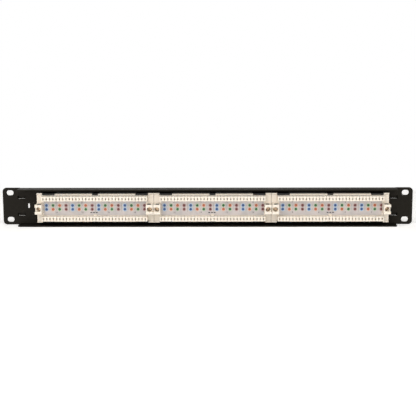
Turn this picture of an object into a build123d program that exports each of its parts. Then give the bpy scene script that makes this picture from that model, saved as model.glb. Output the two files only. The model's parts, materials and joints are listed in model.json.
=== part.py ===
from build123d import *
from math import hypot
import os

# A one-unit 19 inch rack patch panel: a folded steel panel that carries three eight-port modules.
# Each module is a black snap frame, eight jack bodies with their contact inserts and leads, a circuit
# board, and a cream terminal block with two rows of punch-down contacts and a wiring label.
# Frame: origin at the middle of the ears' rear face, where they bear on the rack rails. +X is to the
# right seen from the jacks, +Y points away from the jacks to the terminal side, and +Z is up.
# All sizes are in millimetres.

os.makedirs("parts", exist_ok=True)

# ---- panel -------------------------------------------------------------------------------------
PANEL_WIDTH = 482.6
PANEL_HEIGHT = 43.7
SHEET = 1.5
EAR_CORNER = 4.5
FLANGE_SPAN = 442.0
FLANGE_DEPTH = 17.7
FLANGE_CORNER = 2.5
BEND_OUTSIDE = 2.0
BEND_INSIDE = 0.5
CUT_OVERRUN = 1.0
RACK_PITCH_X = 465.1
RACK_PITCH_Z = 31.75
RACK_SLOT_LENGTH = 8.2
RACK_SLOT_WIDTH = 6.0
TIE_BRIDGE_X = 219.3
TIE_BRIDGE_Z = (-9.7, 10.5)
TIE_BRIDGE = (10.3, 3.3)
TIE_BRIDGE_RISE = 2.3
TIE_BRIDGE_RAMP = 1.4
EARTH_SLOT_X = 210.7
EARTH_SLOT_Z = 0.4
EARTH_SLOT = (2.0, 5.3)
EARTH_SLOT_CORNER = 0.4
PANEL_SCREW_HOLE = 1.27

# ---- modules -----------------------------------------------------------------------------------
MODULES = 3
MODULE_PITCH = 136.7
MODULE_ROW_X = -6.35
MODULE_HALF = 68.15
PORTS = 8
PORT_PITCH = 15.24
SLOTS = 32
SLOT_PITCH = 3.81
SCREW_X = 64.0
SCREW_RADIUS = 1.25
SCREW_HOLE = 1.4

# Stack along Y, from the jack faces to the tips of the screw towers.
JACK_FACE = -5.5
COLLAR_FACE = -3.2
FRAME_PLATE = 2.5
BOARD_FRONT = 8.0
BOARD_REAR = 9.6
SLAB_REAR = 12.9
LIP_REAR = 14.4
LABEL_SEAT = 14.7
ROW_TIP = 23.35
TOWER_TIP = 28.0

# ---- snap frame --------------------------------------------------------------------------------
COLLAR_HALF = (61.9, 10.1)
WINDOW_GAP = 0.3
JACK_WELL_HALF = (61.1, 8.6)
FRAME_HALF_X = 68.05
FRAME_HALF_Z = 16.8
END_BLOCK_INNER = 61.1
END_BLOCK_HALF_Z = 9.0
ARM_X = 54.4
ARM_WIDTHS = (14.6, 6.8, 14.6)
ARM_INNER_Z = 15.45
ARM_TIP = 14.6
BARB_DEPTH = 0.5
BARB_Y = (13.0, 13.6)
BARB_LEAD = 0.2
FINGER_X = 63.5
FINGER = (4.0, 0.8)
FINGER_Z = 4.3
FINGER_ROOT = 7.0
FINGER_BARB = (21.1, 25.6)
FINGER_BARB_Z = 6.0
FINGER_TIP = 26.4
FINGER_WINDOW = (21.0, 26.9)

# ---- jack body, about its own port axis --------------------------------------------------------
JACK_HALF = (7.5, 8.5)
JACK_CHAMFER = 0.4
CAVITY_HALF_X = 5.9
CAVITY_Z = (-2.6, 4.2)
CAVITY_END = 6.8
LATCH_LIP = 1.6
LATCH_STEP_HALF = (3.1, 1.7)
LATCH_STEP_Z = (-4.2, -5.6)
LATCH_POCKET_HALF = 3.3
LATCH_POCKET_Z = -5.9
POCKET_HALF_X = 4.7
POCKET_Z = 7.9
POCKET_FRONT = -4.1

# ---- contact insert, about its own port axis ---------------------------------------------------
INSERT_HALF_X = 4.5
INSERT_FRONT = -3.0
INSERT_REAR = 6.2
INSERT_Z = (4.9, 7.7)
INSERT_UNDERSIDE = 4.8
COMB_FRONT = 5.2
COMB_REAR = 6.6
COMB_Z = (1.2, 1.72, 4.2)
COMB_POCKET_END = 6.3
GROOVE = 0.6

# ---- spring contacts ---------------------------------------------------------------------------
WIRES = 8
WIRE_PITCH = 1.02
WIRE_WIDTH = 0.5
WIRE_THICK = 0.35
WIRE_RUN_Z = 5.1
WIRE_TAIL_Z = 7.44
WIRE_TAIL_END = 10.6
WIRE_JOG = (7.3, 6.9)
CURL = ((-2.95, 5.1), (-3.55, 4.85), (-3.5, 4.45))
HINGE = (-3.12, 4.32)
SPRING_TIP = (5.9, 2.0)
SPRING_GAP = 0.1

# ---- circuit board -----------------------------------------------------------------------------
BOARD_HALF = (68.0, 14.8)
BLADE_HOLE = 0.5
WIRE_HOLE = 0.45
FINGER_ROOM = 0.4

# ---- terminal block ----------------------------------------------------------------------------
SLAB_HALF_Z = 16.65
NOTCH_Z = 15.3
NOTCH_DEPTH = 2.0
NOTCH_CLEARANCE = 0.2
TAB_INNER = 61.6
TAB_HALF_Z = 17.3
TAB_RIM = 1.5
TAB_RIM_REAR = 14.0
LIP_INNER_Z = 14.5
LIP_CHAMFER = 0.9
HOLLOW_HALF = (59.7, 8.4)
HOLLOW_END = 11.6
PLINTH_HALF_Z = 9.1
ROW_HALF_X = 61.2
ROW_Z = 11.64
ROW_INNER_Z = 9.0
ROW_OUTER_BASE_Z = 14.9
ROW_OUTER_TIP_Z = 14.5
SLIT_WIDTH = 0.2
SLIT_FLOOR = 15.6
POCKET = (1.4, 2.3)
POCKET_FLOOR = 21.4
TOWER_INNER = 60.2
TOWER_OUTER = 68.0
TOWER_HALF_Z = 5.56
BORE_RADIUS = 2.9
BORE_FLOOR = 15.0
FINGER_SLOT_ROOM = 0.2
WINDOW_REACH = 2.0
SIDE_NOTCH = (4.8, 4.0)
LUG = (4.0, 1.6)
LUG_REAR = 17.0

# ---- terminal contacts -------------------------------------------------------------------------
BLADE_WIDTH = 2.3
BLADE_THICK = 0.4
BLADE_SLOT = (2.6, 0.7)
BLADE_SLOT_TOP = 21.6
BLADE_TURN = 45
BLADE_TOP = 21.3
BLADE_FOOT = 10.2
BLADE_SLIT = 0.3
BLADE_SLIT_FLOOR = 15.5
BLADE_TAIL = 0.6
BLADE_TAIL_END = 7.0

# ---- labels ------------------------------------------------------------------------------------
LABEL_THICK = 0.2
LABEL_CORNER = 0.8
LUG_ROOM = (0.4, 1.3)
WIRING_LABEL = (119.2, 17.2)
PORT_LABEL = (121.9, 6.4)
PORT_LABEL_Z = 15.2

# ---- module screws -----------------------------------------------------------------------------
SCREW_HEAD_RADIUS = 2.6
SCREW_HEAD_HEIGHT = 2.0
SCREW_HEAD_ROUND = 0.7
SCREW_END = -2.0
CROSS = (3.2, 0.8)
CROSS_DEPTH = 1.2

module_places = [MODULE_ROW_X + (n - (MODULES - 1) / 2) * MODULE_PITCH for n in range(MODULES)]
port_places = [(p - (PORTS - 1) / 2) * PORT_PITCH for p in range(PORTS)]
wire_places = [(w - (WIRES - 1) / 2) * WIRE_PITCH for w in range(WIRES)]
slot_places = [(s - (SLOTS - 1) / 2) * SLOT_PITCH for s in range(SLOTS)]
ends = (-1, 1)


def rear_plane(y):
    """A plane square to Y at that depth, whose sketches are seen from the jacks: local x is +X, y is +Z."""
    return Plane.XZ.offset(-y)


def side_plane(x):
    """A plane square to X, whose sketches have local x along +Y and y along +Z."""
    return Plane.YZ.offset(x)


def prism(plane_y, end_y, mode=Mode.ADD):
    """Extrude the pending sketch of rear_plane(plane_y) along Y to end_y."""
    extrude(amount=plane_y - end_y, mode=mode)


def ribbon(points, thickness):
    """The outline of a flat strip of that thickness along a route of points, mitred at its bends."""
    def normal(a, b):
        length = hypot(b[0] - a[0], b[1] - a[1])
        return (-(b[1] - a[1]) / length, (b[0] - a[0]) / length)

    normals = [normal(a, b) for a, b in zip(points, points[1:])]
    left, right = [], []
    for i, (y, z) in enumerate(points):
        before, after = normals[max(i - 1, 0)], normals[min(i, len(normals) - 1)]
        across = (before[0] + after[0], before[1] + after[1])
        reach = thickness / (1 + before[0] * after[0] + before[1] * after[1]) / 2
        left.append((y + across[0] * reach, z + across[1] * reach))
        right.append((y - across[0] * reach, z - across[1] * reach))
    return left + right[::-1]


def save(shape, name, x=0.0):
    """Write one piece, moved along X to its module's place, to parts/NAME.step."""
    placed = shape.moved(Location((x, 0, 0)))
    placed.label = name
    export_step(placed, f"parts/{name}.step")


# ---- mounting panel: ears, folded flanges, module windows, rack slots and tie bridges -------------
with BuildPart() as mounting_panel:
    with BuildSketch(Plane.XZ) as ears:
        RectangleRounded(PANEL_WIDTH, PANEL_HEIGHT, EAR_CORNER)
        Rectangle(FLANGE_SPAN, PANEL_HEIGHT, mode=Mode.SUBTRACT)
    extrude(amount=SHEET)
    with BuildSketch(Plane.YZ) as channel:
        with Locations((-SHEET, 0)):
            Rectangle(FLANGE_DEPTH + SHEET, PANEL_HEIGHT, align=(Align.MIN, Align.CENTER))
        fillet(channel.vertices().group_by(Axis.X)[0], BEND_OUTSIDE)
        with BuildSketch(mode=Mode.SUBTRACT) as hollow:
            Rectangle(FLANGE_DEPTH + CUT_OVERRUN, PANEL_HEIGHT - 2 * SHEET, align=(Align.MIN, Align.CENTER))
            fillet(hollow.vertices().group_by(Axis.X)[0], BEND_INSIDE)
    extrude(amount=FLANGE_SPAN / 2, both=True)
    rear_corners = mounting_panel.edges().filter_by(Axis.Z).group_by(Axis.Y)[-1]
    fillet(rear_corners, FLANGE_CORNER)
    with BuildSketch(Plane.XZ) as openings:
        with Locations(*[(x, 0) for x in module_places]):
            Rectangle(2 * (COLLAR_HALF[0] + WINDOW_GAP), 2 * (COLLAR_HALF[1] + WINDOW_GAP))
        with Locations(*[(x + side * SCREW_X, 0) for x in module_places for side in ends]):
            Circle(PANEL_SCREW_HOLE)
        with GridLocations(RACK_PITCH_X, RACK_PITCH_Z, 2, 2):
            SlotOverall(RACK_SLOT_LENGTH, RACK_SLOT_WIDTH)
        with Locations((EARTH_SLOT_X, EARTH_SLOT_Z)):
            RectangleRounded(*EARTH_SLOT, EARTH_SLOT_CORNER)
        with Locations(*[(side * TIE_BRIDGE_X, z) for side in ends for z in TIE_BRIDGE_Z]):
            Rectangle(*TIE_BRIDGE)
    extrude(amount=SHEET, mode=Mode.SUBTRACT)
    # Each tie bridge is a strap lanced out of the ear and pushed towards the jack side.
    foot, middle = TIE_BRIDGE[0] / 2, -SHEET / 2
    crest = foot - TIE_BRIDGE_RAMP
    strap_route = [
        (-foot - SHEET, middle),
        (-foot, middle),
        (-crest, middle - TIE_BRIDGE_RISE),
        (crest, middle - TIE_BRIDGE_RISE),
        (foot, middle),
        (foot + SHEET, middle),
    ]
    for level in TIE_BRIDGE_Z:
        with BuildSketch(Plane.XY.offset(level - TIE_BRIDGE[1] / 2)):
            with Locations((-TIE_BRIDGE_X, 0), (TIE_BRIDGE_X, 0)):
                Polygon(*ribbon(strap_route, SHEET), align=None)
        extrude(amount=TIE_BRIDGE[1])
save(mounting_panel.part, "mounting_panel")

# ---- snap frame: plate behind the panel, collar through the window, hooks and latch fingers --------
with BuildPart() as snap_frame:
    with BuildSketch(rear_plane(0)):
        Rectangle(2 * FRAME_HALF_X, 2 * FRAME_HALF_Z)
    prism(0, FRAME_PLATE)
    with BuildSketch(rear_plane(COLLAR_FACE)):
        Rectangle(2 * COLLAR_HALF[0], 2 * COLLAR_HALF[1])
    prism(COLLAR_FACE, FRAME_PLATE)
    with BuildSketch(rear_plane(FRAME_PLATE)):
        with Locations(*[(side * (END_BLOCK_INNER + FRAME_HALF_X) / 2, 0) for side in ends]):
            Rectangle(FRAME_HALF_X - END_BLOCK_INNER, 2 * END_BLOCK_HALF_Z)
    prism(FRAME_PLATE, BOARD_FRONT)
    with BuildSketch(rear_plane(COLLAR_FACE)):
        Rectangle(2 * JACK_WELL_HALF[0], 2 * JACK_WELL_HALF[1])
    prism(COLLAR_FACE, BOARD_FRONT, mode=Mode.SUBTRACT)
    with BuildSketch(rear_plane(COLLAR_FACE)):
        with Locations((-SCREW_X, 0), (SCREW_X, 0)):
            Circle(SCREW_HOLE)
    prism(COLLAR_FACE, BOARD_FRONT, mode=Mode.SUBTRACT)
    # Hooks along the top and bottom edges, with a barb that closes over the terminal block's slab.
    for x, width in zip((-ARM_X, 0, ARM_X), ARM_WIDTHS):
        for level in ends:
            with BuildSketch(side_plane(x - width / 2)):
                with BuildLine():
                    Polyline(
                        (FRAME_PLATE, level * ARM_INNER_Z),
                        (BARB_Y[0], level * ARM_INNER_Z),
                        (BARB_Y[0], level * (ARM_INNER_Z - BARB_DEPTH)),
                        (BARB_Y[1], level * (ARM_INNER_Z - BARB_DEPTH)),
                        (ARM_TIP, level * (ARM_INNER_Z + BARB_LEAD)),
                        (ARM_TIP, level * FRAME_HALF_Z),
                        (FRAME_PLATE, level * FRAME_HALF_Z),
                        close=True,
                    )
                make_face()
            extrude(amount=width)
    # Latch fingers inside the screw towers, whose barbs stand out of the towers' windows.
    inner, outer = FINGER_Z - FINGER[1] / 2, FINGER_Z + FINGER[1] / 2
    for side in ends:
        for level in ends:
            with BuildSketch(side_plane(side * FINGER_X - FINGER[0] / 2)):
                with BuildLine():
                    Polyline(
                        (FINGER_ROOT, level * inner),
                        (FINGER_TIP, level * inner),
                        (FINGER_TIP, level * outer),
                        (FINGER_BARB[1], level * FINGER_BARB_Z),
                        (FINGER_BARB[0], level * FINGER_BARB_Z),
                        (FINGER_BARB[0], level * outer),
                        (FINGER_ROOT, level * outer),
                        close=True,
                    )
                make_face()
            extrude(amount=FINGER[0])

# ---- jack body: one port's housing ---------------------------------------------------------------
with BuildPart() as jack_body:
    with BuildSketch(rear_plane(JACK_FACE)):
        Rectangle(2 * JACK_HALF[0], 2 * JACK_HALF[1])
    prism(JACK_FACE, BOARD_FRONT)
    chamfer(jack_body.edges().group_by(Axis.Y)[0], JACK_CHAMFER)
    with BuildSketch(rear_plane(JACK_FACE)):
        with Locations((0, sum(CAVITY_Z) / 2)):
            Rectangle(2 * CAVITY_HALF_X, CAVITY_Z[1] - CAVITY_Z[0])
    prism(JACK_FACE, CAVITY_END, mode=Mode.SUBTRACT)
    with BuildSketch(rear_plane(JACK_FACE)):
        for half_width, low in zip(LATCH_STEP_HALF, LATCH_STEP_Z):
            with Locations((0, low)):
                Rectangle(2 * half_width, CAVITY_Z[0] - low, align=(Align.CENTER, Align.MIN))
    prism(JACK_FACE, JACK_FACE + LATCH_LIP, mode=Mode.SUBTRACT)
    with BuildSketch(rear_plane(JACK_FACE + LATCH_LIP)):
        with Locations((0, LATCH_POCKET_Z)):
            Rectangle(2 * LATCH_POCKET_HALF, CAVITY_Z[0] - LATCH_POCKET_Z, align=(Align.CENTER, Align.MIN))
    prism(JACK_FACE + LATCH_LIP, CAVITY_END, mode=Mode.SUBTRACT)
    with BuildSketch(rear_plane(POCKET_FRONT)):
        with Locations((0, CAVITY_Z[1])):
            Rectangle(2 * POCKET_HALF_X, POCKET_Z - CAVITY_Z[1], align=(Align.CENTER, Align.MIN))
    prism(POCKET_FRONT, BOARD_FRONT, mode=Mode.SUBTRACT)

# ---- contact insert: carries a port's leads, with a comb for the spring tips -----------------------
with BuildPart() as contact_insert:
    with BuildSketch(side_plane(-INSERT_HALF_X)):
        with BuildLine():
            Polyline(
                (INSERT_FRONT, INSERT_Z[0]),
                (COMB_FRONT, INSERT_Z[0]),
                (COMB_FRONT, COMB_Z[0]),
                (COMB_REAR, COMB_Z[0]),
                (COMB_REAR, INSERT_UNDERSIDE),
                (INSERT_REAR, INSERT_UNDERSIDE),
                (INSERT_REAR, INSERT_Z[1]),
                (INSERT_FRONT, INSERT_Z[1]),
                close=True,
            )
        make_face()
    extrude(amount=2 * INSERT_HALF_X)
    with BuildSketch(rear_plane(INSERT_FRONT)):
        with Locations(*[(x, WIRE_RUN_Z) for x in wire_places]):
            Rectangle(GROOVE, GROOVE)
    prism(INSERT_FRONT, COMB_REAR + CUT_OVERRUN, mode=Mode.SUBTRACT)
    with BuildSketch(rear_plane(COMB_FRONT)):
        with Locations(*[(x, COMB_Z[1]) for x in wire_places]):
            Rectangle(GROOVE, COMB_Z[2] - COMB_Z[1], align=(Align.CENTER, Align.MIN))
    prism(COMB_FRONT, COMB_POCKET_END, mode=Mode.SUBTRACT)

# ---- contact leads: the fixed runs from the board to the curl at the front of the jack --------------
lead_front = [*CURL, HINGE]
lead_routes = (
    [(WIRE_TAIL_END, WIRE_RUN_Z)] + lead_front,
    [(WIRE_TAIL_END, WIRE_TAIL_Z), (WIRE_JOG[0], WIRE_TAIL_Z), (WIRE_JOG[1], WIRE_RUN_Z)] + lead_front,
)
with BuildPart() as contact_leads:
    for port in port_places:
        for wire, x in enumerate(wire_places):
            with BuildSketch(side_plane(port + x - WIRE_WIDTH / 2)):
                with BuildLine():
                    Polyline(*ribbon(lead_routes[wire % 2], WIRE_THICK), close=True)
                make_face()
    extrude(amount=WIRE_WIDTH)

# ---- port springs: the eight free arms of one port, which a plug lifts together ----------------------
arm_length = hypot(SPRING_TIP[0] - HINGE[0], SPRING_TIP[1] - HINGE[1])
arm_start = tuple(h + (t - h) * SPRING_GAP / arm_length for h, t in zip(HINGE, SPRING_TIP))
with BuildPart() as port_springs:
    for x in wire_places:
        with BuildSketch(side_plane(x - WIRE_WIDTH / 2)):
            with BuildLine():
                Polyline(*ribbon([arm_start, SPRING_TIP], WIRE_THICK), close=True)
            make_face()
    extrude(amount=WIRE_WIDTH)

# ---- circuit board ---------------------------------------------------------------------------------
with BuildPart() as circuit_board:
    with BuildSketch(rear_plane(BOARD_FRONT)):
        Rectangle(2 * BOARD_HALF[0], 2 * BOARD_HALF[1])
        with GridLocations(SLOT_PITCH, 2 * ROW_Z, SLOTS, 2):
            Circle(BLADE_HOLE, mode=Mode.SUBTRACT)
        for wire, x in enumerate(wire_places):
            with Locations(*[(port + x, (WIRE_RUN_Z, WIRE_TAIL_Z)[wire % 2]) for port in port_places]):
                Circle(WIRE_HOLE, mode=Mode.SUBTRACT)
        with Locations((-SCREW_X, 0), (SCREW_X, 0)):
            Circle(SCREW_HOLE, mode=Mode.SUBTRACT)
        with GridLocations(2 * FINGER_X, 2 * FINGER_Z, 2, 2):
            Rectangle(FINGER[0] + FINGER_ROOM, FINGER[1] + FINGER_ROOM, mode=Mode.SUBTRACT)
    prism(BOARD_FRONT, BOARD_REAR)

# ---- terminal block: slab with lips, two slotted rows and two screw towers ----------------------------
with BuildPart() as terminal_block:
    with BuildSketch(rear_plane(BOARD_REAR)):
        Rectangle(2 * MODULE_HALF, 2 * SLAB_HALF_Z)
        with Locations(*[(side * (TAB_INNER + MODULE_HALF) / 2, 0) for side in ends]):
            Rectangle(MODULE_HALF - TAB_INNER, 2 * TAB_HALF_Z)
    prism(BOARD_REAR, SLAB_REAR)
    with BuildSketch(rear_plane(SLAB_REAR)):
        with GridLocations(TAB_INNER + MODULE_HALF, 2 * TAB_HALF_Z - TAB_RIM, 2, 2):
            Rectangle(MODULE_HALF - TAB_INNER, TAB_RIM)
    prism(SLAB_REAR, TAB_RIM_REAR)
    # A chamfered lip along both edges, and the notches where the frame's hooks pass.
    for level in ends:
        with BuildSketch(side_plane(-TAB_INNER)):
            with BuildLine():
                Polyline(
                    (SLAB_REAR, level * LIP_INNER_Z),
                    (LIP_REAR, level * LIP_INNER_Z),
                    (LIP_REAR, level * (SLAB_HALF_Z - LIP_CHAMFER)),
                    (LIP_REAR - LIP_CHAMFER, level * SLAB_HALF_Z),
                    (SLAB_REAR, level * SLAB_HALF_Z),
                    close=True,
                )
            make_face()
        extrude(amount=2 * TAB_INNER)
    for start, notch_z in ((BOARD_REAR, NOTCH_Z), (SLAB_REAR, ROW_OUTER_BASE_Z)):
        with BuildSketch(rear_plane(start)):
            for x, width in zip((-ARM_X, 0, ARM_X), ARM_WIDTHS):
                with Locations(*[(x, level * (notch_z + NOTCH_DEPTH / 2)) for level in ends]):
                    Rectangle(width + NOTCH_CLEARANCE, NOTCH_DEPTH)
        prism(start, LIP_REAR, mode=Mode.SUBTRACT)
    # Hollow under the slab for the jack leads' tails, and the seat of the wiring label above it.
    with BuildSketch(rear_plane(BOARD_REAR)):
        Rectangle(2 * HOLLOW_HALF[0], 2 * HOLLOW_HALF[1])
    prism(BOARD_REAR, HOLLOW_END, mode=Mode.SUBTRACT)
    with BuildSketch(rear_plane(SLAB_REAR)):
        Rectangle(2 * ROW_HALF_X, 2 * PLINTH_HALF_Z)
    prism(SLAB_REAR, LABEL_SEAT)
    with BuildSketch(rear_plane(LABEL_SEAT)):
        with Locations((0, -ROW_INNER_Z)):
            Rectangle(LUG[0], LUG[1], align=(Align.CENTER, Align.MIN))
    prism(LABEL_SEAT, LUG_REAR)
    # The two rows: drafted bars with a slit, a pocket and a slanted contact slot at every wire.
    for level in ends:
        with BuildSketch(side_plane(-ROW_HALF_X)):
            with BuildLine():
                Polyline(
                    (SLAB_REAR, level * ROW_INNER_Z),
                    (ROW_TIP, level * ROW_INNER_Z),
                    (ROW_TIP, level * ROW_OUTER_TIP_Z),
                    (LIP_REAR, level * ROW_OUTER_BASE_Z),
                    (SLAB_REAR, level * ROW_OUTER_BASE_Z),
                    close=True,
                )
            make_face()
        extrude(amount=2 * ROW_HALF_X)
    with BuildSketch(Plane.XY.offset(-ROW_OUTER_BASE_Z)):
        with Locations((0, ROW_TIP)):
            with GridLocations(SLOT_PITCH, 1, SLOTS, 1):
                Rectangle(SLIT_WIDTH, ROW_TIP - SLIT_FLOOR, align=(Align.CENTER, Align.MAX))
    extrude(amount=2 * ROW_OUTER_BASE_Z, mode=Mode.SUBTRACT)
    with BuildSketch(rear_plane(POCKET_FLOOR)):
        with GridLocations(SLOT_PITCH, 2 * ROW_Z, SLOTS, 2):
            Rectangle(*POCKET)
    prism(POCKET_FLOOR, ROW_TIP, mode=Mode.SUBTRACT)
    with BuildSketch(rear_plane(BOARD_REAR)):
        with GridLocations(SLOT_PITCH, 2 * ROW_Z, SLOTS, 2):
            Rectangle(*BLADE_SLOT, rotation=BLADE_TURN)
    prism(BOARD_REAR, BLADE_SLOT_TOP, mode=Mode.SUBTRACT)
    # Screw towers, with a deep bore, an open side and the windows of the latch fingers.
    with BuildSketch(rear_plane(SLAB_REAR)):
        with Locations(*[(side * (TOWER_INNER + TOWER_OUTER) / 2, 0) for side in ends]):
            Rectangle(TOWER_OUTER - TOWER_INNER, 2 * TOWER_HALF_Z)
    prism(SLAB_REAR, TOWER_TIP)
    with BuildSketch(rear_plane(BORE_FLOOR)):
        with Locations((-SCREW_X, 0), (SCREW_X, 0)):
            Circle(BORE_RADIUS)
    prism(BORE_FLOOR, TOWER_TIP, mode=Mode.SUBTRACT)
    with BuildSketch(rear_plane(BOARD_REAR)):
        with Locations((-SCREW_X, 0), (SCREW_X, 0)):
            Circle(SCREW_HOLE)
    prism(BOARD_REAR, BORE_FLOOR, mode=Mode.SUBTRACT)
    with BuildSketch(rear_plane(BOARD_REAR)):
        with GridLocations(2 * FINGER_X, 2 * FINGER_Z, 2, 2):
            Rectangle(FINGER[0] + FINGER_SLOT_ROOM, FINGER[1] + FINGER_SLOT_ROOM)
    prism(BOARD_REAR, FINGER_WINDOW[1], mode=Mode.SUBTRACT)
    with BuildSketch(rear_plane(FINGER_WINDOW[0])):
        with GridLocations(2 * FINGER_X, 2 * FINGER_Z + WINDOW_REACH, 2, 2):
            Rectangle(FINGER[0] + FINGER_SLOT_ROOM, WINDOW_REACH)
    prism(*FINGER_WINDOW, mode=Mode.SUBTRACT)
    with BuildSketch(rear_plane(TOWER_TIP - SIDE_NOTCH[1])):
        with Locations(*[(side * TOWER_OUTER, 0) for side in ends]):
            Rectangle(2 * (TOWER_OUTER - SCREW_X), SIDE_NOTCH[0])
    prism(TOWER_TIP - SIDE_NOTCH[1], TOWER_TIP, mode=Mode.SUBTRACT)

# ---- terminal contacts: forked blades set at 45 degrees to the wire ------------------------------------
with BuildPart() as blade:
    with BuildSketch(Plane.XY.offset(-BLADE_THICK / 2)):
        with Locations((0, BLADE_FOOT)):
            Rectangle(BLADE_WIDTH, BLADE_TOP - BLADE_FOOT, align=(Align.CENTER, Align.MIN))
        with Locations((0, BLADE_TAIL_END)):
            Rectangle(BLADE_TAIL, BLADE_FOOT - BLADE_TAIL_END, align=(Align.CENTER, Align.MIN))
        with Locations((0, BLADE_SLIT_FLOOR)):
            Rectangle(BLADE_SLIT, BLADE_TOP, align=(Align.CENTER, Align.MIN), mode=Mode.SUBTRACT)
    extrude(amount=BLADE_THICK)
terminal_contacts = Compound([
    blade.part.solid().moved(Location((x, 0, level * ROW_Z), (0, -BLADE_TURN, 0)))
    for level in ends
    for x in slot_places
])

# ---- wiring label, cut out round the lug that holds it -------------------------------------------------
with BuildPart() as wiring_label:
    with BuildSketch(rear_plane(LABEL_SEAT)):
        RectangleRounded(*WIRING_LABEL, LABEL_CORNER)
        with Locations((0, -WIRING_LABEL[1] / 2)):
            Rectangle(LUG[0] + LUG_ROOM[0], 2 * LUG_ROOM[1], mode=Mode.SUBTRACT)
    prism(LABEL_SEAT, LABEL_SEAT + LABEL_THICK)

# ---- port label: a write-on strip on the face of the panel -----------------------------------------------
with BuildPart() as port_label:
    with BuildSketch(rear_plane(-SHEET)):
        with Locations((0, PORT_LABEL_Z)):
            RectangleRounded(*PORT_LABEL, LABEL_CORNER)
    prism(-SHEET, -SHEET - LABEL_THICK)

# ---- module screws: pan heads at the floor of the tower bores ----------------------------------------------
with BuildPart() as module_screw:
    with BuildSketch(rear_plane(SCREW_END)):
        Circle(SCREW_RADIUS)
    prism(SCREW_END, BORE_FLOOR)
    head_top = BORE_FLOOR + SCREW_HEAD_HEIGHT
    with BuildSketch(rear_plane(BORE_FLOOR)):
        Circle(SCREW_HEAD_RADIUS)
    prism(BORE_FLOOR, head_top)
    fillet(module_screw.edges().group_by(Axis.Y)[-1], SCREW_HEAD_ROUND)
    with BuildSketch(rear_plane(head_top - CROSS_DEPTH)):
        Rectangle(CROSS[0], CROSS[1])
        Rectangle(CROSS[1], CROSS[0])
    prism(head_top - CROSS_DEPTH, head_top + CUT_OVERRUN, mode=Mode.SUBTRACT)
module_screws = Compound([
    module_screw.part.solid().moved(Location((x + side * SCREW_X, 0, 0)))
    for x in module_places
    for side in ends
])
save(module_screws, "module_screws")

# ---- the modules, numbered from the left as seen from the jacks ------------------------------------------
jack_bodies = Compound([jack_body.part.solid().moved(Location((x, 0, 0))) for x in port_places])
contact_inserts = Compound([contact_insert.part.solid().moved(Location((x, 0, 0))) for x in port_places])
module_pieces = {
    "snap_frame": snap_frame.part,
    "jack_bodies": jack_bodies,
    "contact_inserts": contact_inserts,
    "contact_leads": contact_leads.part,
    "circuit_board": circuit_board.part,
    "terminal_block": terminal_block.part,
    "terminal_contacts": terminal_contacts,
    "wiring_label": wiring_label.part,
    "port_label": port_label.part,
}
for module, module_x in enumerate(module_places, start=1):
    for piece, shape in module_pieces.items():
        save(shape, f"{piece}_{module}", module_x)
    for port, port_x in enumerate(port_places, start=1):
        number = (module - 1) * PORTS + port
        save(port_springs.part, f"port_springs_{number:02d}", module_x + port_x)
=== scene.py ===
"""Looks of a one-unit rack patch panel: finishes for its CAD pieces, and the printing on its labels.

Everything is in metres, in the panel's own frame: the origin is in the middle of the ears' rear face, +X is
to the right as seen from the jacks, +Y points from the jacks to the terminal side, and +Z is up.
"""

import json
import logging
import math
from dataclasses import dataclass, field
from enum import Enum
from typing import Dict, Iterable, List, Optional, Sequence, Tuple

import bmesh
import bpy
from mathutils import Matrix, Vector

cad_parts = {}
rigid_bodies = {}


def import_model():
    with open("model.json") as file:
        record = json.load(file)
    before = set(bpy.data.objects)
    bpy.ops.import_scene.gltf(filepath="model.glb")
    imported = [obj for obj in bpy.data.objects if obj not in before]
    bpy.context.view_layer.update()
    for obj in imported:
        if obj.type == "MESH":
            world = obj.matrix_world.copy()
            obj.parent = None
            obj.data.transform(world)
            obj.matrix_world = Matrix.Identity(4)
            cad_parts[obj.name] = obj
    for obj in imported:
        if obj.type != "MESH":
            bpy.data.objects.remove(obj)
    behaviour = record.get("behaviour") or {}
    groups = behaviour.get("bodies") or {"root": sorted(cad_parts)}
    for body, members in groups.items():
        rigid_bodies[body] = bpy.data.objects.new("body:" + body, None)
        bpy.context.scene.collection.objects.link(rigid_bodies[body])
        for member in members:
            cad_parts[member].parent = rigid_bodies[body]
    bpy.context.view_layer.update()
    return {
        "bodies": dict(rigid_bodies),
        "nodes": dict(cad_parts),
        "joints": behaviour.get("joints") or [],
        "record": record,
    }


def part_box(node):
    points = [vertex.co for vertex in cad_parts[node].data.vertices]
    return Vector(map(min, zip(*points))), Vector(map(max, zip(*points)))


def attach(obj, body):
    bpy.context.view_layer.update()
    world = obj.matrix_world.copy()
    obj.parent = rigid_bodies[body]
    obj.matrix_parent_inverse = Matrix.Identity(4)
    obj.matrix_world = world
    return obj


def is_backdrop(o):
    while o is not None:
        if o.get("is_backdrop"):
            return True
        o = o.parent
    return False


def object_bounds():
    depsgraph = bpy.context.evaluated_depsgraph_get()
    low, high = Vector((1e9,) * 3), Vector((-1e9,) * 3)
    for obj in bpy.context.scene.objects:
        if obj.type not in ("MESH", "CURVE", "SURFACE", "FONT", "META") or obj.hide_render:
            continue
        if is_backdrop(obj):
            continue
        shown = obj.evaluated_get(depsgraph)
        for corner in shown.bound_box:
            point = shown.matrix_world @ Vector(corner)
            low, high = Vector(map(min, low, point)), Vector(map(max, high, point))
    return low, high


log = logging.getLogger("patch_panel")

Colour = Tuple[float, float, float]
Point = Tuple[float, float, float]
Frame = Dict[str, object]

MM = 0.001
PANEL_BODY = "panel_assembly"
MODULES = 3
PORTS_PER_MODULE = 8
PORTS = MODULES * PORTS_PER_MODULE
COLUMN_PITCH = 7.62 * MM
PRINT_THICKNESS = 0.03 * MM
# Corners closer together than this are one corner.
SAME_POINT = 0.001 * MM
# The height of a digit as a share of its font's size.
CAP_HEIGHT = 0.69
INK_TONES = (0.86, 1.16)
PAPER_FIBRE = (0.55, 0.52, 0.5)


# ---- node sheets ---------------------------------------------------------------------------------


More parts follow.
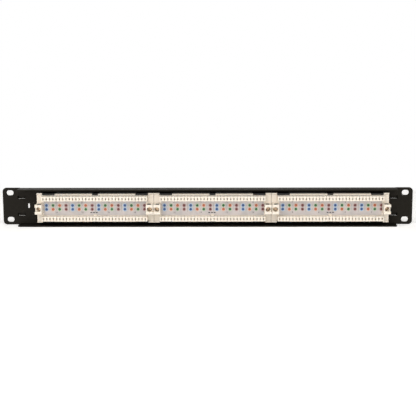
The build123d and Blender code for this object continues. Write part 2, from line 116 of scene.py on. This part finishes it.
class NodeSheet:
    """A material's node tree, with short calls for the nodes that every finish here is made of."""

    def __init__(self, name: str) -> None:
        """Start an empty material with one shader and its output.

        Args:
            name: The material's name.
        """
        self.material = bpy.data.materials.new(name)
        self.material.use_nodes = True
        self.tree = self.material.node_tree
        self.shader = self.tree.nodes["Principled BSDF"]
        self._place = self.tree.nodes.new("ShaderNodeTexCoord").outputs["Object"]

    def put(self, **values: object) -> None:
        """Set constants on the shader's own sockets, with spaces in the socket names as underscores."""
        for name, value in values.items():
            self.shader.inputs[name.replace("_", " ")].default_value = value

    def feed(self, name: str, source: bpy.types.NodeSocket) -> None:
        """Link a node's output to one of the shader's sockets."""
        self.tree.links.new(source, self.shader.inputs[name])

    def stretched(self, scale: Point) -> bpy.types.NodeSocket:
        """Object coordinates multiplied by a scale along each axis.

        Args:
            scale: Multipliers along X, Y and Z.

        Returns:
            The stretched coordinates.
        """
        mapping = self.tree.nodes.new("ShaderNodeMapping")
        mapping.inputs["Scale"].default_value = scale
        self.tree.links.new(self._place, mapping.inputs["Vector"])
        return mapping.outputs["Vector"]

    def noise(self, size: float, detail: float = 3.0, stretch: Point = (1, 1, 1)) -> bpy.types.NodeSocket:
        """A noise field in object space.

        Args:
            size: The width of one blot, in metres.
            detail: Octaves of finer noise on top.
            stretch: Extra multipliers along each axis, for brushed or drawn surfaces.

        Returns:
            The noise value, centred on 0.5.
        """
        noise = self.tree.nodes.new("ShaderNodeTexNoise")
        noise.inputs["Scale"].default_value = 1 / size
        noise.inputs["Detail"].default_value = detail
        self.tree.links.new(self.stretched(stretch), noise.inputs["Vector"])
        return noise.outputs["Fac"]

    def cells(self, size: float) -> bpy.types.NodeSocket:
        """Distance to the nearest of a scatter of points about one size apart."""
        cells = self.tree.nodes.new("ShaderNodeTexVoronoi")
        cells.inputs["Scale"].default_value = 1 / size
        self.tree.links.new(self._place, cells.inputs["Vector"])
        return cells.outputs["Distance"]

    def spread(
        self, source: bpy.types.NodeSocket, low: float, high: float, span: Tuple[float, float] = (0.3, 0.7)
    ) -> bpy.types.NodeSocket:
        """Map a span of a field onto a range of values, clamped.

        Args:
            source: The field.
            low: The value at the start of the span.
            high: The value at its end.
            span: The part of the field that is mapped.

        Returns:
            The mapped field.
        """
        remap = self.tree.nodes.new("ShaderNodeMapRange")
        for name, value in zip(("From Min", "From Max", "To Min", "To Max"), (*span, low, high)):
            remap.inputs[name].default_value = value
        self.tree.links.new(source, remap.inputs["Value"])
        return remap.outputs["Result"]

    def blend(self, factor: bpy.types.NodeSocket, first: object, second: object) -> bpy.types.NodeSocket:
        """Mix two colours, each given as a colour or as a node's output.

        Args:
            factor: How much of the second colour shows.
            first: The colour at factor 0.
            second: The colour at factor 1.

        Returns:
            The mixed colour.
        """
        mix = self.tree.nodes.new("ShaderNodeMix")
        mix.data_type = "RGBA"
        self.tree.links.new(factor, mix.inputs["Factor"])
        for name, value in (("A", first), ("B", second)):
            socket = next(s for s in mix.inputs if s.name == name and s.type == "RGBA")
            if isinstance(value, tuple):
                socket.default_value = (*value, 1)
            else:
                self.tree.links.new(value, socket)
        return next(s for s in mix.outputs if s.type == "RGBA")

    def openness(self, reach: float) -> bpy.types.NodeSocket:
        """How open a surface is within a reach, from ambient occlusion: 0 deep in a recess, 1 on an open
        face; used to paint shade.
        """
        ambient = self.tree.nodes.new("ShaderNodeAmbientOcclusion")
        ambient.only_local = True
        ambient.inputs["Distance"].default_value = reach
        return ambient.outputs["AO"]

    def relief(
        self, height: bpy.types.NodeSocket, depth: float, after: Optional[bpy.types.NodeSocket] = None
    ) -> bpy.types.NodeSocket:
        """A bump of a height field, on top of an earlier one if there is one.

        Args:
            height: The height field, from 0 to 1.
            depth: The height of its full range, in metres.
            after: The normal of an earlier bump.

        Returns:
            The bumped normal.
        """
        bump = self.tree.nodes.new("ShaderNodeBump")
        bump.inputs["Distance"].default_value = depth
        self.tree.links.new(height, bump.inputs["Height"])
        if after is not None:
            self.tree.links.new(after, bump.inputs["Normal"])
        return bump.outputs["Normal"]


# ---- finishes ------------------------------------------------------------------------------------


def scaled(colour: Colour, factor: float) -> Colour:
    """A colour with every channel multiplied by a factor."""
    return tuple(channel * factor for channel in colour)


@dataclass(frozen=True)
class PowderCoat:
    """Baked powder paint on sheet steel: satin, with fine orange peel and a few dust specks."""

    name: str = "black_powder_coat"
    colour: Colour = (0.0066, 0.006, 0.0045)
    peel: float = 0.9 * MM
    peel_depth: float = 0.025 * MM
    cloud: float = 60 * MM
    cloud_tones: Tuple[float, float] = (0.86, 1.2)
    speck: float = 7 * MM
    speck_cover: float = 0.55
    speck_edge: float = 0.035
    dust: Colour = (0.16, 0.155, 0.14)
    gloss_patch: float = 5 * MM
    roughness: Tuple[float, float] = (0.4, 0.54)
    sheen: float = 0.14
    sheen_colour: Colour = (1, 0.9, 0.8)

    def material(self) -> bpy.types.Material:
        """Build the paint's material."""
        sheet = NodeSheet(self.name)
        cloud = sheet.spread(sheet.noise(self.cloud, 2), 0, 1)
        tone = sheet.blend(cloud, *(scaled(self.colour, factor) for factor in self.cloud_tones))
        specks = sheet.spread(sheet.cells(self.speck), self.speck_cover, 0, (0.0, self.speck_edge))
        sheet.feed("Base Color", sheet.blend(specks, tone, self.dust))
        sheet.feed("Roughness", sheet.spread(sheet.noise(self.gloss_patch, 4), *self.roughness))
        coarse = sheet.relief(sheet.noise(self.peel, 1.5), self.peel_depth)
        sheet.feed("Normal", sheet.relief(sheet.noise(self.peel / 4, 2), self.peel_depth / 6, coarse))
        sheet.put(Specular_IOR_Level=self.sheen, Specular_Tint=(*self.sheen_colour, 1))
        return sheet.material


@dataclass(frozen=True)
class MouldedPlastic:
    """Injection-moulded plastic: flow marks, a fine eroded grain, aged patches, and painted shade that
    darkens its recesses.
    """

    name: str
    colour: Colour
    flow: float
    roughness: Tuple[float, float]
    streak: float = 22 * MM
    streak_stretch: Point = (0.35, 1, 1.6)
    grain: float = 0.22 * MM
    grain_depth: float = 0.006 * MM
    gloss_patch: float = 3.5 * MM
    glow: float = 0.0
    glow_colour: Colour = (1.0, 0.72, 0.5)
    glow_depth: float = 0.6 * MM
    aged: Optional[Colour] = None
    aged_patch: float = 48 * MM
    aged_cover: float = 0.55
    aged_span: Tuple[float, float] = (0.42, 0.72)
    # painted shade: the colour mixed into recesses by ambient occlusion, standing in for the shade that falls
    # there
    hollow: Optional[Colour] = None
    hollow_reach: float = 1.2 * MM
    hollow_span: Tuple[float, float] = (0.3, 0.6)
    refraction: float = 1.52

    def material(self) -> bpy.types.Material:
        """Build the plastic's material."""
        sheet = NodeSheet(self.name)
        streak = sheet.spread(sheet.noise(self.streak, 3, self.streak_stretch), 0, 1)
        tone = sheet.blend(streak, scaled(self.colour, 1 - self.flow), scaled(self.colour, 1 + self.flow / 2))
        if self.aged is not None:
            age = sheet.spread(sheet.noise(self.aged_patch, 2), 0, self.aged_cover, self.aged_span)
            tone = sheet.blend(age, tone, self.aged)
        # painted shade: darken the tone towards the shade colour where ambient occlusion finds a recess
        if self.hollow is not None:
            unshaded = sheet.spread(sheet.openness(self.hollow_reach), 0, 1, self.hollow_span)
            tone = sheet.blend(unshaded, self.hollow, tone)
        sheet.feed("Base Color", tone)
        sheet.feed("Roughness", sheet.spread(sheet.noise(self.gloss_patch, 4), *self.roughness))
        sheet.feed("Normal", sheet.relief(sheet.noise(self.grain, 2), self.grain_depth))
        if self.glow:
            sheet.put(Subsurface_Weight=self.glow, Subsurface_Radius=self.glow_colour)
            sheet.put(Subsurface_Scale=self.glow_depth)
        sheet.put(IOR=self.refraction)
        return sheet.material


@dataclass(frozen=True)
class PlatedMetal:
    """Plated metal with drawn or rolled lines along one axis and a thin uneven film."""

    name: str
    colour: Colour
    stain: Colour
    roughness: Tuple[float, float] = (0.22, 0.38)
    film: float = 1.6 * MM
    film_span: Tuple[float, float] = (0.38, 0.68)
    line: float = 0.12 * MM
    line_depth: float = 0.002 * MM
    stretch: Point = (0.08, 1, 1)

    def material(self) -> bpy.types.Material:
        """Build the metal's material."""
        sheet = NodeSheet(self.name)
        film = sheet.spread(sheet.noise(self.film, 4), 0, 1, self.film_span)
        sheet.feed("Base Color", sheet.blend(film, self.colour, self.stain))
        lines = sheet.noise(self.line, 3, self.stretch)
        sheet.feed("Roughness", sheet.spread(lines, *self.roughness))
        sheet.feed("Normal", sheet.relief(lines, self.line_depth))
        sheet.put(Metallic=1.0)
        return sheet.material


@dataclass(frozen=True)
class SolderMask:
    """Glass-epoxy board under green solder mask, with copper lines faintly raised beneath it."""

    name: str = "green_solder_mask"
    mask: Colour = (0.012, 0.075, 0.028)
    copper: Colour = (0.03, 0.14, 0.045)
    track: float = 1.27 * MM
    track_bend: float = 1.5
    track_edge: Tuple[float, float] = (0.55, 0.62)
    track_height: float = 0.03 * MM
    weave: float = 0.5 * MM
    weave_cover: float = 0.35
    gloss_patch: float = 2 * MM
    roughness: Tuple[float, float] = (0.22, 0.4)

    def material(self) -> bpy.types.Material:
        """Build the board's material."""
        sheet = NodeSheet(self.name)
        wave = sheet.tree.nodes.new("ShaderNodeTexWave")
        wave.inputs["Scale"].default_value = 1 / self.track / 6
        wave.inputs["Distortion"].default_value = self.track_bend
        sheet.tree.links.new(sheet.stretched((1, 1, 0.6)), wave.inputs["Vector"])
        tracks = sheet.spread(wave.outputs["Fac"], 0, 1, self.track_edge)
        weave = sheet.spread(sheet.noise(self.weave, 2), 0, self.weave_cover)
        sheet.feed("Base Color", sheet.blend(weave, sheet.blend(tracks, self.mask, self.copper), self.mask))
        sheet.feed("Roughness", sheet.spread(sheet.noise(self.gloss_patch, 3), *self.roughness))
        sheet.feed("Normal", sheet.relief(tracks, self.track_height))
        return sheet.material


@dataclass(frozen=True)
class PrintedFilm:
    """Label film: off-white with a screened tint, a little dirt, and a satin overlaminate."""

    name: str
    paper: Colour
    tint: Colour
    patch: float = 9 * MM
    patch_span: Tuple[float, float] = (0.32, 0.68)
    fibre: float = 0.35 * MM
    fibre_cover: float = 0.3
    fibre_span: Tuple[float, float] = (0.5, 0.8)
    fibre_tone: float = 0.72
    gloss_patch: float = 1.5 * MM
    roughness: Tuple[float, float] = (0.3, 0.46)
    ripple: float = 2.2 * MM
    ripple_depth: float = 0.01 * MM

    def material(self) -> bpy.types.Material:
        """Build the film's material."""
        sheet = NodeSheet(self.name)
        wash = sheet.spread(sheet.noise(self.patch, 3, (1, 1, 0.7)), 0, 1, self.patch_span)
        fibre = sheet.spread(sheet.noise(self.fibre, 3), 0, self.fibre_cover, self.fibre_span)
        tone = sheet.blend(wash, self.paper, self.tint)
        sheet.feed("Base Color", sheet.blend(fibre, tone, scaled(self.paper, self.fibre_tone)))
        sheet.feed("Roughness", sheet.spread(sheet.noise(self.gloss_patch, 3), *self.roughness))
        sheet.feed("Normal", sheet.relief(sheet.noise(self.ripple, 2), self.ripple_depth))
        return sheet.material


class Ink(Enum):
    """The printing inks of the labels: the four pair colours, the rules and the figures."""

    BLUE = (0.028, 0.07, 0.205)
    GREEN = (0.02, 0.105, 0.034)
    ORANGE = (0.4, 0.095, 0.04)
    BROWN = (0.125, 0.027, 0.027)
    GREY = (0.2, 0.2, 0.2)
    BLACK = (0.03, 0.03, 0.032)
    PALE_BLUE = (0.34, 0.46, 0.62)
    PALE_GREEN = (0.42, 0.5, 0.37)
    PALE_ORANGE = (0.62, 0.42, 0.33)
    PALE_BROWN = (0.46, 0.34, 0.33)

    def material(self) -> bpy.types.Material:
        """Build the ink's material once: a screened film with small voids at the paper's fibres."""
        name = f"ink_{self.name.lower()}"
        if name in bpy.data.materials:
            return bpy.data.materials[name]
        sheet = NodeSheet(name)
        wash = sheet.spread(sheet.noise(1.2 * MM, 3), 0, 1, (0.35, 0.7))
        tone = sheet.blend(wash, *(scaled(self.value, factor) for factor in INK_TONES))
        void = sheet.spread(sheet.noise(0.16 * MM, 2), 0, 0.4, (0.62, 0.72))
        sheet.feed("Base Color", sheet.blend(void, tone, PAPER_FIBRE))
        sheet.feed("Roughness", sheet.spread(sheet.noise(0.8 * MM, 2), 0.34, 0.5))
        sheet.feed("Normal", sheet.relief(wash, 0.004 * MM))
        return sheet.material


# ---- mesh helpers --------------------------------------------------------------------------------


def mesh_piece(name: str, solid: bmesh.types.BMesh, inks: Sequence[Ink]) -> None:
    """Turn a finished mesh into a piece that rides on the panel.

    Args:
        name: The piece's name.
        solid: Its mesh, which is freed.
        inks: The materials of its faces, by index.
    """
    mesh = bpy.data.meshes.new(name)
    bmesh.ops.recalc_face_normals(solid, faces=solid.faces)
    solid.to_mesh(mesh)
    solid.free()
    piece = bpy.data.objects.new(name, mesh)
    bpy.context.scene.collection.objects.link(piece)
    for ink in inks:
        mesh.materials.append(ink.material())
    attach(piece, PANEL_BODY)
    log.info("printed %s", name)


def add_plate(
    solid: bmesh.types.BMesh, outline: Sequence[Tuple[float, float]], back: float, front: float, ink: int
) -> None:
    """Add a flat closed plate square to Y.

    Args:
        solid: The mesh it joins.
        outline: Its corners in X and Z.
        back: The Y of one face.
        front: The Y of the other.
        ink: The material index of its faces.
    """
    rings = [[solid.verts.new((x, y, z)) for x, z in outline] for y in (back, front)]
    faces = [solid.faces.new(rings[0]), solid.faces.new(rings[1][::-1])]
    for i, corner in enumerate(rings[0]):
        after = (i + 1) % len(outline)
        faces.append(solid.faces.new((corner, rings[1][i], rings[1][after], rings[0][after])))
    for face in faces:
        face.material_index = ink


def disc_outline(x: float, z: float, radius: float, corners: int = 28) -> List[Tuple[float, float]]:
    """The corners of a round outline in X and Z."""
    turns = (2 * math.pi * i / corners for i in range(corners))
    return [(x + radius * math.cos(turn), z + radius * math.sin(turn)) for turn in turns]


def bar_outline(x: float, z: float, width: float, height: float) -> List[Tuple[float, float]]:
    """The corners of a rectangle in X and Z, about its middle."""
    return [(x + sx * width / 2, z + sz * height / 2) for sx, sz in ((-1, -1), (1, -1), (1, 1), (-1, 1))]


# ---- the CAD pieces ------------------------------------------------------------------------------


@dataclass
class Dressing:
    """Gives CAD nodes their finish and softens their edges."""

    frame: Frame
    sharp_angle: float = 32

    def dress(self, names: Iterable[str], material: bpy.types.Material, edge: float = 0.0) -> None:
        """Give nodes a material, and round their sharp edges where a width is given.

        Args:
            names: The nodes' names.
            material: The material of their whole surface.
            edge: The width of the rounding, in metres, or 0 for none.
        """
        for name in names:
            node = self.frame["nodes"][name]
            node.data.materials.clear()
            node.data.materials.append(material)
            if edge:
                self.round_edges(node, edge)
            log.info("dressed %s in %s", name, material.name)

    def round_edges(self, node: bpy.types.Object, width: float) -> None:
        """Join a node's split corners and round its sharp edges, by modifiers only."""
        weld = node.modifiers.new("joined_corners", "WELD")
        weld.merge_threshold = SAME_POINT
        bevel = node.modifiers.new("soft_edges", "BEVEL")
        bevel.width = width
        bevel.segments = 2
        bevel.limit_method = "ANGLE"
        bevel.angle_limit = math.radians(self.sharp_angle)
        bevel.use_clamp_overlap = True
        bevel.harden_normals = False


@dataclass
class WiringPrint:
    """The printing on one module's wiring label: pair dots, group rules, port figures and plain bars.

    The print's pitch is a little more than the modules', so each label's print sits off its middle by one
    creep more than its neighbour's.
    """

    number: int
    dot_radius: float = 1.55 * MM
    ring_radius: float = 2.45 * MM
    dot_rows: Tuple[float, float] = (3.0 * MM, -1.5 * MM)
    creep: float = 0.84 * MM
    columns: int = 16
    groups: int = 4
    rule: Tuple[float, float] = (0.22 * MM, 11 * MM)
    rule_middle: float = 0.5 * MM
    tick: Tuple[float, float] = (0.3 * MM, 1.8 * MM)
    bar: Tuple[float, float] = (2.2 * MM, 1.2 * MM)
    bars: int = 3
    bar_pitch: float = 3.1 * MM
    bar_middle: Tuple[float, float] = (1.9 * MM, -5.35 * MM)
    figure_height: float = 1.9 * MM
    figure_rows: Tuple[float, float] = (6.5 * MM, -5.2 * MM)
    upper_order: Tuple[Ink, ...] = (Ink.BLUE, Ink.GREEN, Ink.ORANGE, Ink.BROWN)
    lower_order: Tuple[Ink, ...] = (Ink.BLUE, Ink.ORANGE, Ink.GREEN, Ink.BROWN)
    inks: List[Ink] = field(default_factory=lambda: list(Ink))

    def build(self) -> None:
        """Print this module's label."""
        low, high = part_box(f"wiring_label_{self.number}")
        centre = (low.x + high.x) / 2 - self.creep * (MODULES + 0.5 - self.number)
        face = high.y
        self.dots(centre, face)
        self.rules(centre, face)
        self.figures(centre, face)

    def dots(self, centre: float, face: float) -> None:
        """Two rows of pair dots, one column over each pair of slots."""
        solid = bmesh.new()
        for z, order in zip(self.dot_rows, (self.upper_order, self.lower_order)):
            for column in range(self.columns):
                x = centre - (column - (self.columns - 1) / 2) * COLUMN_PITCH
                colour = order[column % len(order)]
                ring = Ink[f"PALE_{colour.name}"]
                for radius, front, ink in (
                    (self.ring_radius, face + PRINT_THICKNESS / 2, ring),
                    (self.dot_radius, face + PRINT_THICKNESS, colour),
                ):
                    add_plate(solid, disc_outline(x, z, radius), face, front, self.inks.index(ink))
        mesh_piece(f"pair_dots_{self.number}", solid, self.inks)

    def rules(self, centre: float, face: float) -> None:
        """Upright rules between the groups, short ticks between the columns and plain bars in the middle."""
        solid = bmesh.new()
        group = (self.columns // self.groups) * COLUMN_PITCH
        grey, black = self.inks.index(Ink.GREY), self.inks.index(Ink.BLACK)
        front = face + PRINT_THICKNESS
        for edge in range(1, self.groups):
            x = centre + (edge - self.groups / 2) * group
            add_plate(solid, bar_outline(x, self.rule_middle, *self.rule), face, front, grey)
        for column in range(1, self.columns):
            x = centre + (column - self.columns / 2) * COLUMN_PITCH
            for z in self.dot_rows:
                add_plate(solid, bar_outline(x, z, *self.tick), face, front, grey)
        for place in range(self.bars):
            x = centre + self.bar_middle[0] + (place - (self.bars - 1) / 2) * self.bar_pitch
            add_plate(solid, bar_outline(x, self.bar_middle[1], *self.bar), face, front, black)
        mesh_piece(f"label_rules_{self.number}", solid, self.inks)

    def figures(self, centre: float, face: float) -> None:
        """The port number at each group of eight slots, which sits behind its own pair of ports."""
        first = (self.number - 1) * PORTS_PER_MODULE + 1
        group = (self.columns // self.groups) * COLUMN_PITCH
        figures = []
        for row, z in enumerate(self.figure_rows):
            for place in range(self.groups):
                x = centre - (place - (self.groups - 1) / 2) * group
                figures.append((first + 2 * (self.groups - 1 - place) + row, x, z))
        write_figures(f"group_figures_{self.number}", figures, self.figure_height, face, 1)


def write_figures(
    name: str, figures: Sequence[Tuple[int, float, float]], height: float, face: float, side: int
) -> None:
    """Print numbers on a face square to Y.

    Args:
        name: The piece's name.
        figures: Each number, with the X and Z of its middle.
        height: The height of the digits, in metres.
        face: The Y of the face.
        side: 1 where the face looks along +Y, -1 where it looks along -Y.
    """
    solid = bmesh.new()
    for number, x, z in figures:
        curve = bpy.data.curves.new(f"{name}_{number}", "FONT")
        curve.body = str(number)
        curve.size = height / CAP_HEIGHT
        curve.align_x = "CENTER"
        curve.align_y = "CENTER"
        curve.extrude = PRINT_THICKNESS / 2
        curve.resolution_u = 3
        text = bpy.data.objects.new(curve.name, curve)
        bpy.context.scene.collection.objects.link(text)
        bpy.context.view_layer.update()
        mesh = bpy.data.meshes.new_from_object(text.evaluated_get(bpy.context.evaluated_depsgraph_get()))
        across = Vector((-side, 0, 0))
        out = Vector((0, side, 0))
        turn = Matrix((across, Vector((0, 0, 1)), out)).transposed().to_4x4()
        mesh.transform(Matrix.Translation((x, face + side * PRINT_THICKNESS / 2, z)) @ turn)
        solid.from_mesh(mesh)
        bpy.data.meshes.remove(mesh)
        bpy.data.objects.remove(text)
        bpy.data.curves.remove(curve)
    bmesh.ops.remove_doubles(solid, verts=solid.verts, dist=SAME_POINT / 2)
    mesh_piece(name, solid, [Ink.BLACK])


# ---- studio --------------------------------------------------------------------------------------


@dataclass(frozen=True)
class Softbox:
    """A rectangular light: where it hangs, its width and height, its watts, and the point that it faces."""

    name: str
    place: Point
    size: Tuple[float, float]
    power: float
    colour: Colour
    aim: Point = (0, 0, 0)

    def hang(self) -> None:
        """Put the light in the scene."""
        light = bpy.data.lights.new(self.name, "AREA")
        light.shape = "RECTANGLE"
        light.size, light.size_y = self.size
        light.energy = self.power
        light.color = self.colour
        lamp = bpy.data.objects.new(self.name, light)
        lamp.location = self.place
        lamp.rotation_euler = (Vector(self.aim) - Vector(self.place)).to_track_quat("-Z", "Y").to_euler()
        bpy.context.scene.collection.objects.link(lamp)


@dataclass
class Studio:
    """The camera, the pale floor, and the soft lights."""

    target: Point = (-0.92 * MM, 0.0, -2.47 * MM)
    distance: float = 1083.5 * MM
    elevation: float = 8.98
    swing: float = 0.703
    roll: float = -0.167
    lens: float = 79.49
    floor_half_width: float = 1.0
    floor_reach: Tuple[float, float] = (-0.29, 1.0)
    floor_gap: float = 0.2 * MM
    floor_glow: float = 0.3
    floor_cloud: float = 400 * MM
    floor_tones: Tuple[Colour, Colour] = ((0.93, 0.93, 0.93), (0.96, 0.96, 0.96))
    surround: Colour = (0.3, 0.29, 0.27)
    softboxes: Tuple[Softbox, ...] = (
        Softbox("top_softbox", (0, 0.9, 1.2), (2.4, 1.2), 11, (1, 0.98, 0.95)),
        Softbox("key_softbox", (0.42, 1.6, 0.4), (0.35, 0.35), 4, (1, 0.99, 0.97)),
        Softbox("fill_softbox", (-1.2, 1.5, 0.6), (1.0, 0.9), 0.6, (1, 0.99, 0.97)),
        Softbox("low_softbox", (0, 1.6, 0.25), (1.6, 0.5), 4.2, (1, 0.98, 0.95)),
        Softbox("jack_softbox", (0.35, -1.6, 1.0), (1.4, 0.9), 4, (1, 1, 1)),
        Softbox("floor_softbox", (0, 0.75, 0.7), (1.6, 0.5), 3.5, (1, 1, 1), aim=(0, 0.45, 0)),
    )

    def aim_camera(self) -> None:
        """Stand the camera behind the panel, a little above it, with its small swing and roll."""
        up_angle, side_angle, roll = (math.radians(a) for a in (self.elevation, self.swing, self.roll))
        back = Vector(
            (
                -math.sin(side_angle) * math.cos(up_angle),
                math.cos(side_angle) * math.cos(up_angle),
                math.sin(up_angle),
            )
        )
        level = Vector((-math.cos(side_angle), -math.sin(side_angle), 0))
        upright = back.cross(level)
        right = level * math.cos(roll) + upright * math.sin(roll)
        up = upright * math.cos(roll) - level * math.sin(roll)
        turn = Matrix((right, up, back)).transposed().to_4x4()
        lens = bpy.data.cameras.new("camera")
        lens.lens = self.lens
        lens.sensor_width = 36
        lens.clip_start = 0.01
        camera = bpy.data.objects.new("camera", lens)
        camera.matrix_world = Matrix.Translation(Vector(self.target) + back * self.distance) @ turn
        bpy.context.scene.collection.objects.link(camera)
        bpy.context.scene.camera = camera

    def lay_floor(self) -> None:
        """A plain pale floor just under the panel's lower edge."""
        low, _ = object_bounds()
        near, far = self.floor_reach
        half = self.floor_half_width
        mesh = bpy.data.meshes.new("floor")
        corners = [(-half, near, 0), (half, near, 0), (half, far, 0), (-half, far, 0)]
        mesh.from_pydata(corners, [], [(0, 1, 2, 3)])
        floor = bpy.data.objects.new("floor", mesh)
        floor.location.z = low[2] - self.floor_gap
        bpy.context.scene.collection.objects.link(floor)
        sheet = NodeSheet("pale_floor")
        cloud = sheet.spread(sheet.noise(self.floor_cloud, 2), 0, 1)
        sheet.feed("Base Color", sheet.blend(cloud, *self.floor_tones))
        sheet.put(Roughness=0.9, Specular_IOR_Level=0.1)
        sheet.put(Emission_Color=(1, 1, 1, 1), Emission_Strength=self.floor_glow)
        mesh.materials.append(sheet.material)
        floor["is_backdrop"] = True

    def light(self) -> None:
        """Set a white surround behind the object, a dimmer one that lights it, and the softboxes."""
        world = bpy.data.worlds.new("surround")
        bpy.context.scene.world = world
        world.use_nodes = True
        tree = world.node_tree
        seen, felt = tree.nodes["Background"], tree.nodes.new("ShaderNodeBackground")
        seen.inputs["Color"].default_value = (1, 1, 1, 1)
        felt.inputs["Color"].default_value = (*self.surround, 1)
        mix = tree.nodes.new("ShaderNodeMixShader")
        tree.links.new(tree.nodes.new("ShaderNodeLightPath").outputs["Is Camera Ray"], mix.inputs["Fac"])
        tree.links.new(felt.outputs["Background"], mix.inputs[1])
        tree.links.new(seen.outputs["Background"], mix.inputs[2])
        tree.links.new(mix.outputs["Shader"], tree.nodes["World Output"].inputs["Surface"])
        for softbox in self.softboxes:
            softbox.hang()
        bpy.context.scene.view_settings.view_transform = "Standard"


# ---- assembly ------------------------------------------------------------------------------------


@dataclass
class PatchPanel:
    """The whole panel: which finish each piece gets, and what is printed on it."""

    frame: Frame
    coat: PowderCoat = PowderCoat()
    black: MouldedPlastic = MouldedPlastic("black_moulding", (0.0065, 0.0063, 0.006), 0.2, (0.4, 0.55))
    insert: MouldedPlastic = MouldedPlastic(
        "contact_insert_moulding", (0.022, 0.022, 0.023), 0.2, (0.4, 0.55)
    )
    cream: MouldedPlastic = MouldedPlastic(
        "cream_moulding",
        (0.77, 0.7, 0.61),
        0.035,
        (0.42, 0.55),
        glow=0.12,
        aged=(0.73, 0.665, 0.57),
        # painted shade: the dark warm colour painted into the cream moulding's recesses
        hollow=(0.3, 0.24, 0.19),
    )
    gold: PlatedMetal = PlatedMetal("gold_plated_wire", (0.95, 0.68, 0.27), (0.82, 0.5, 0.16), (0.14, 0.3))
    tin: PlatedMetal = PlatedMetal("tinned_blade", (0.62, 0.57, 0.48), (0.42, 0.37, 0.3), stretch=(1, 0.1, 1))
    zinc: PlatedMetal = PlatedMetal("yellow_zinc", (0.86, 0.7, 0.53), (0.62, 0.46, 0.33), (0.4, 0.56))
    board: SolderMask = SolderMask()
    label: PrintedFilm = PrintedFilm("wiring_label_film", (0.56, 0.51, 0.5), (0.44, 0.42, 0.42))
    strip: PrintedFilm = PrintedFilm("port_label_film", (0.8, 0.8, 0.78), (0.72, 0.72, 0.7))
    number_height: float = 3.0 * MM

    def each(self, stem: str) -> List[str]:
        """A module piece's node names, one for each module."""
        return [f"{stem}_{number}" for number in range(1, MODULES + 1)]

    def dress(self) -> None:
        """Give every CAD node its finish."""
        dressing = Dressing(self.frame)
        dressing.dress(["mounting_panel"], self.coat.material(), 0.25 * MM)
        black = self.black.material()
        dressing.dress(self.each("snap_frame"), black, 0.1 * MM)
        dressing.dress(self.each("jack_bodies"), black, 0.1 * MM)
        dressing.dress(self.each("contact_inserts"), self.insert.material())
        dressing.dress(self.each("terminal_block"), self.cream.material(), 0.12 * MM)
        gold = self.gold.material()
        dressing.dress(self.each("contact_leads"), gold)
        dressing.dress([f"port_springs_{port:02d}" for port in range(1, PORTS + 1)], gold)
        dressing.dress(self.each("terminal_contacts"), self.tin.material())
        dressing.dress(["module_screws"], self.zinc.material(), 0.06 * MM)
        dressing.dress(self.each("circuit_board"), self.board.material())
        dressing.dress(self.each("wiring_label"), self.label.material())
        dressing.dress(self.each("port_label"), self.strip.material())

    def number_ports(self) -> None:
        """Print each port's number on the strip over its socket."""
        sockets = {mount["name"]: mount["pos_m"][0] for mount in self.frame["record"]["mounts"]}
        for module in range(1, MODULES + 1):
            low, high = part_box(f"port_label_{module}")
            middle = (low.z + high.z) / 2
            first = (module - 1) * PORTS_PER_MODULE + 1
            figures = [
                (port, sockets[f"port_{port:02d}_socket"], middle)
                for port in range(first, first + PORTS_PER_MODULE)
            ]
            write_figures(f"port_numbers_{module}", figures, self.number_height, low.y, -1)

    def build(self) -> None:
        """Dress the panel and print its labels."""
        self.dress()
        for number in range(1, MODULES + 1):
            WiringPrint(number).build()
        self.number_ports()


def main() -> None:
    """Load the CAD frame, set up the studio and build the panel's looks."""
    logging.basicConfig(level=logging.INFO, format="%(name)s: %(message)s")
    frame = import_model()
    studio = Studio()
    studio.aim_camera()
    studio.lay_floor()
    studio.light()
    PatchPanel(frame).build()


if __name__ == "__main__":
    main()
